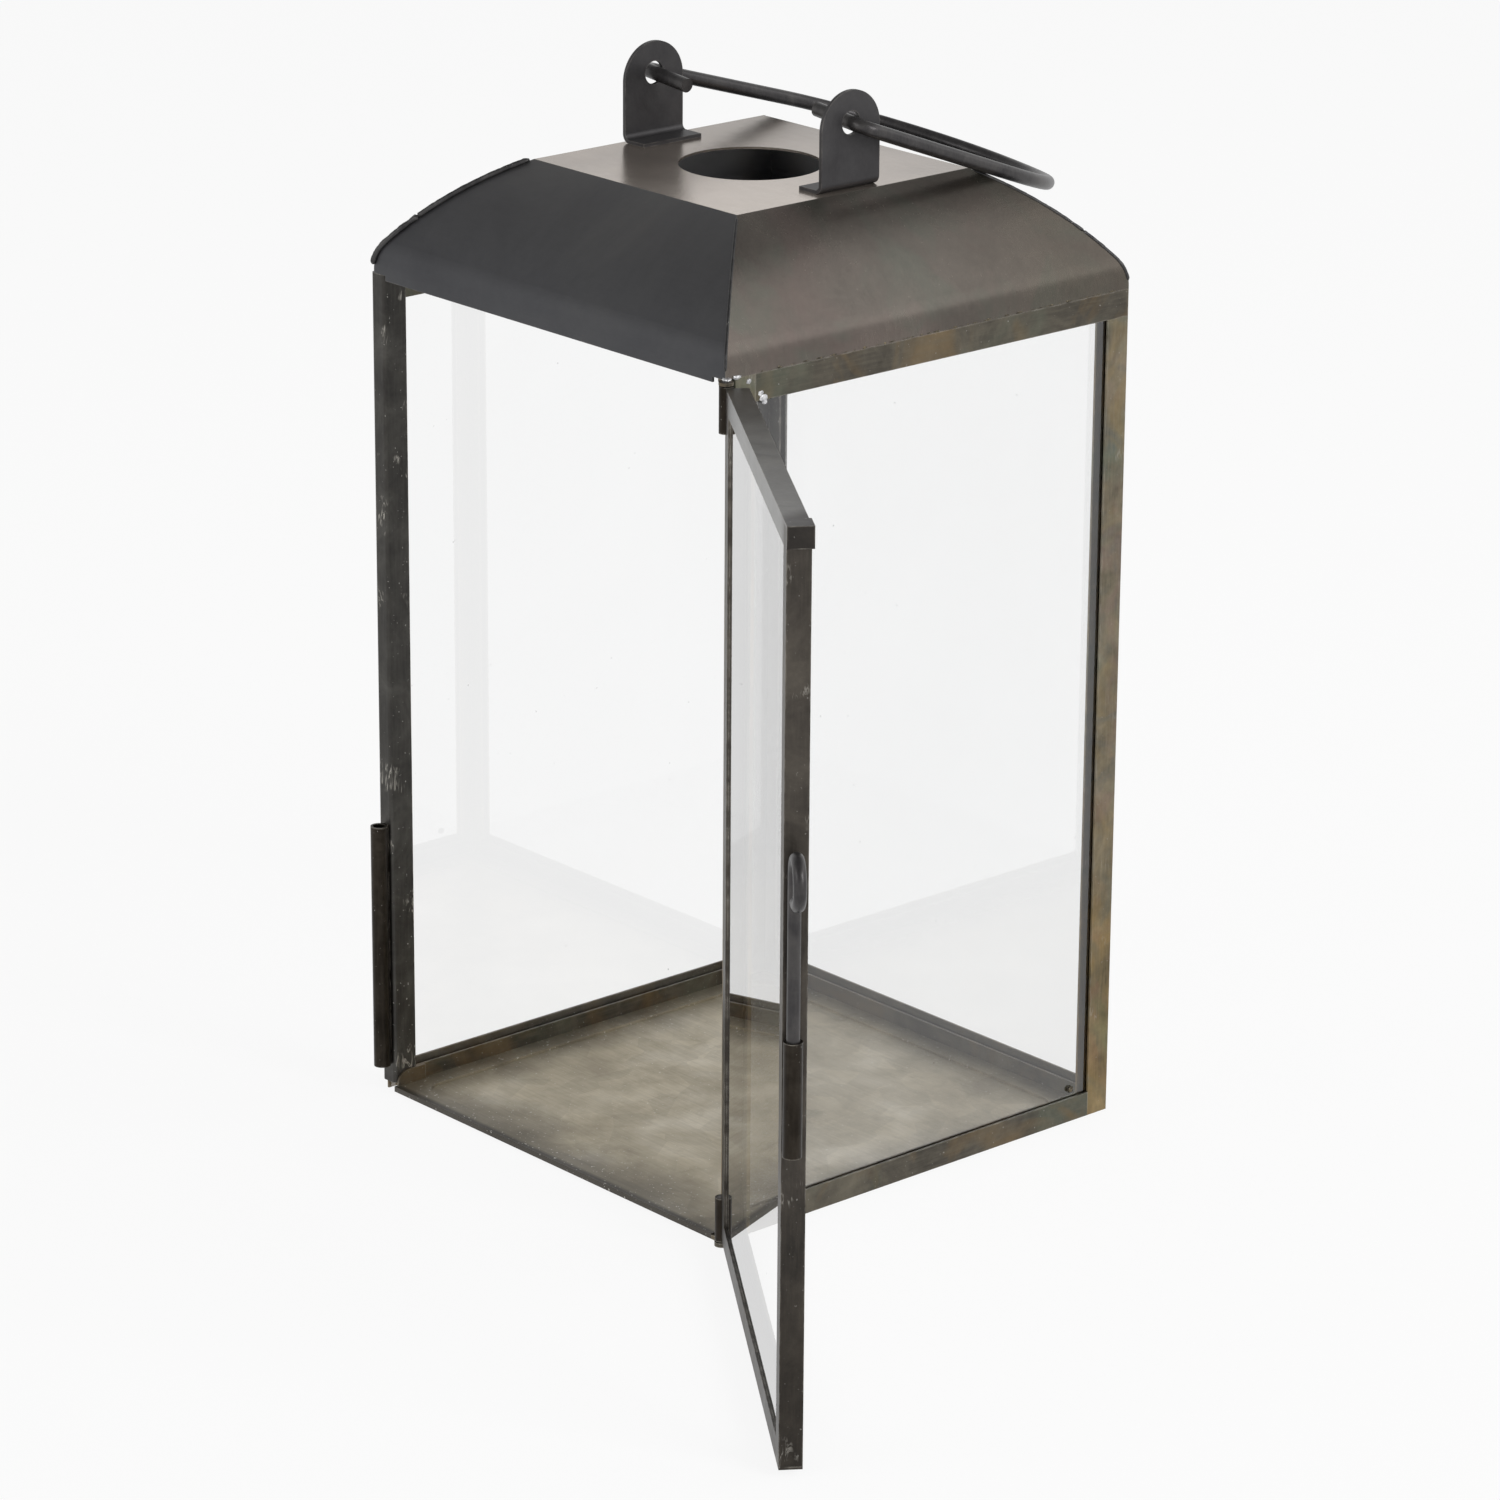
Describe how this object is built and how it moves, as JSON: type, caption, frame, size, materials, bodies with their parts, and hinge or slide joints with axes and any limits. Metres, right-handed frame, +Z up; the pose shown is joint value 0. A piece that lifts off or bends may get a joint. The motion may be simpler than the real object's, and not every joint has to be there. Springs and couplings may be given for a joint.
{
  "type": "candle lantern",
  "caption": "Sheet-metal candle lantern with glass sides, a hinged glass door with a drop-pin latch, a curved roof with a vent hole and a swinging wire bail.",
  "frame": {"origin": "centre of the underside of the body, on the surface that the lantern stands on", "axes": "+Z up, the door opening faces -Y, the door's hinge is on the +X side"},
  "size_m": [0.2671, 0.25, 0.2884],
  "materials": {
    "tray_metal": "satin",
    "frame_metal": "satin",
    "roof_metal": "satin",
    "top_metal": "satin",
    "ear_metal": "matte",
    "wire_metal": "satin",
    "pane": "gloss"
  },
  "bodies": {
    "body": {"base_tray": "tray_metal", "rail_bottom_left": "frame_metal", "rail_bottom_back": "frame_metal", "rail_bottom_right": "frame_metal", "post_front_left": "frame_metal", "post_back_left": "frame_metal", "post_back_right": "frame_metal", "post_front_right": "frame_metal", "rail_top_left": "frame_metal", "rail_top_back": "frame_metal", "rail_top_right": "frame_metal", "glass_left": "pane", "glass_back": "pane", "glass_right": "pane", "roof_panel_front": "roof_metal", "roof_panel_right": "roof_metal", "roof_panel_back": "roof_metal", "roof_panel_left": "roof_metal", "roof_top": "top_metal", "ear_left": "ear_metal", "ear_right": "ear_metal", "keeper_tube": "frame_metal", "hinge_lug_bottom": "frame_metal", "hinge_lug_top": "frame_metal", "hinge_pin_bottom": "wire_metal", "hinge_pin_top": "wire_metal"},
    "door": {"door_stile_hinge": "frame_metal", "door_stile_free": "frame_metal", "door_rail_top": "frame_metal", "door_rail_bottom": "frame_metal", "door_glass": "pane", "hinge_knuckle_bottom": "frame_metal", "hinge_knuckle_top": "frame_metal", "latch_tube": "frame_metal"},
    "pin": {"latch_pin": "wire_metal"},
    "bail": {"bail_handle": "wire_metal"}
  },
  "joints": [
    {"name": "door_hinge", "type": "hinge", "parent": "body", "child": "door", "pos_m": [0.0709, -0.0705, 0.1], "axis": [0, 0, 1], "range_deg": [-144.5, 53.5]},
    {"name": "bail_pivot", "type": "hinge", "parent": "body", "child": "bail", "pos_m": [0, 0, 0.2799], "axis": [1, 0, 0], "range_deg": [0, 142.4]},
    {"name": "latch_slide", "type": "slide", "parent": "door", "child": "pin", "axis": [0, 0, 1], "range_m": [-0.0334, 0]}
  ]
}
